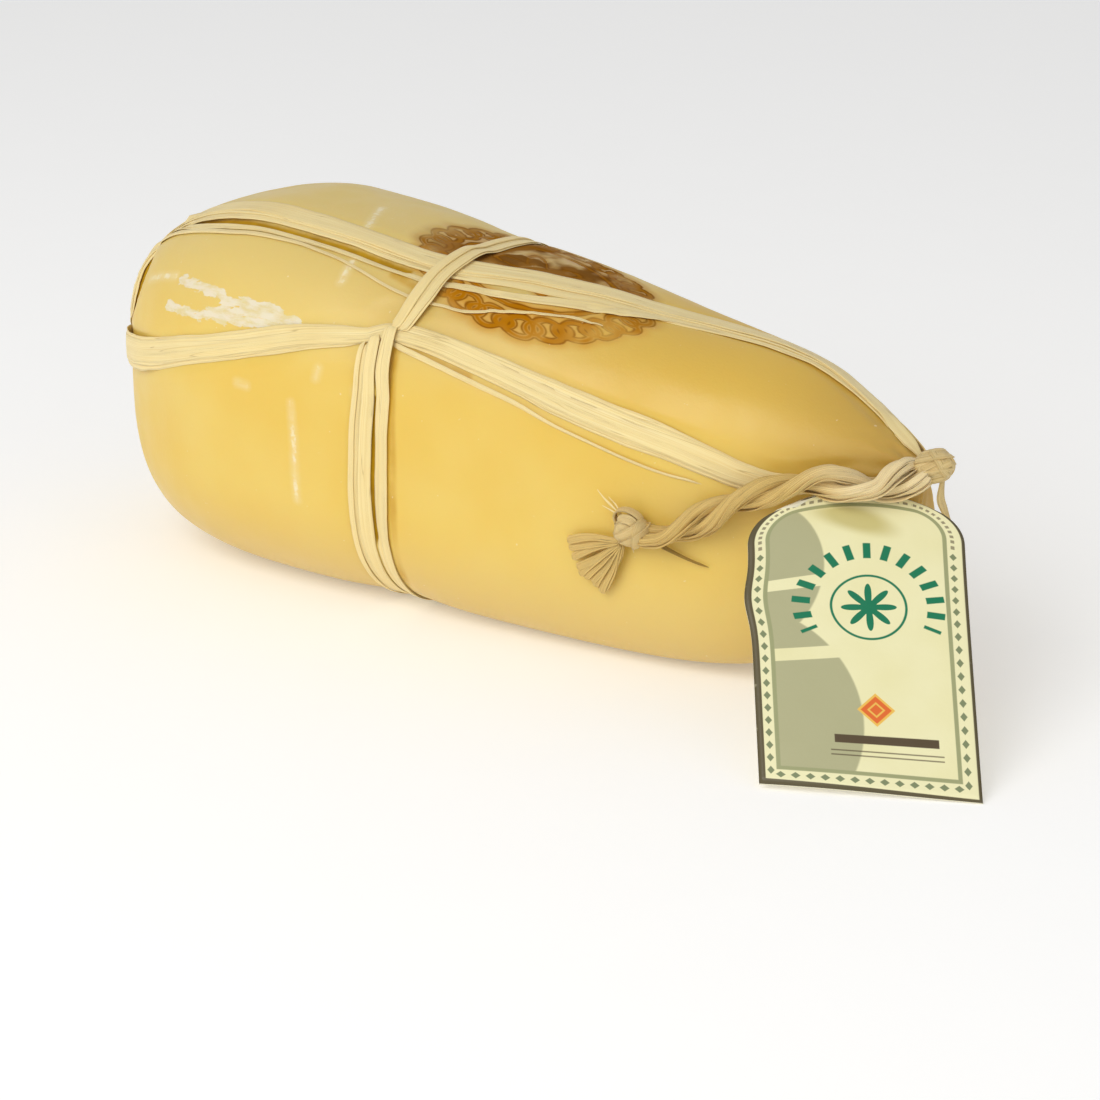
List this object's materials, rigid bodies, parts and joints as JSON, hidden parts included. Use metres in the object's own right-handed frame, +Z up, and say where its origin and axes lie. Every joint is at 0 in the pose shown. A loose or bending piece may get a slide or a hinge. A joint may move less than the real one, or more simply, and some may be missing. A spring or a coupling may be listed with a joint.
{
  "type": "stretched-curd cheese bound with raffia",
  "caption": "Pear-shaped stretched-curd cheese lying on its side, bound lengthwise and round its girth with raffia, with a twisted hanging cord and a paper tag at the tip.",
  "frame": {"origin": "on the flat spot of the belly that the cheese lies on, half way along its length", "axes": "+X along the cheese from the fat base end to the tied tip, -Y out of the front flank with the cord, +Z up"},
  "size_m": [0.2975, 0.1272, 0.102],
  "materials": {
    "rind": "satin",
    "raffia": "matte",
    "cord": "matte",
    "card": "satin"
  },
  "bodies": {
    "root": {"cheese": "rind", "band_top": "raffia", "band_front": "raffia", "strand_top_thin": "raffia", "strand_top_loose": "raffia", "strand_front_thin": "raffia", "girth_left": "raffia", "girth_middle": "raffia", "girth_right": "raffia", "tip_knot": "cord", "cord": "cord", "end_knot": "cord", "tassel": "cord", "tag_tie": "raffia", "tag": "card"}
  },
  "joints": []
}
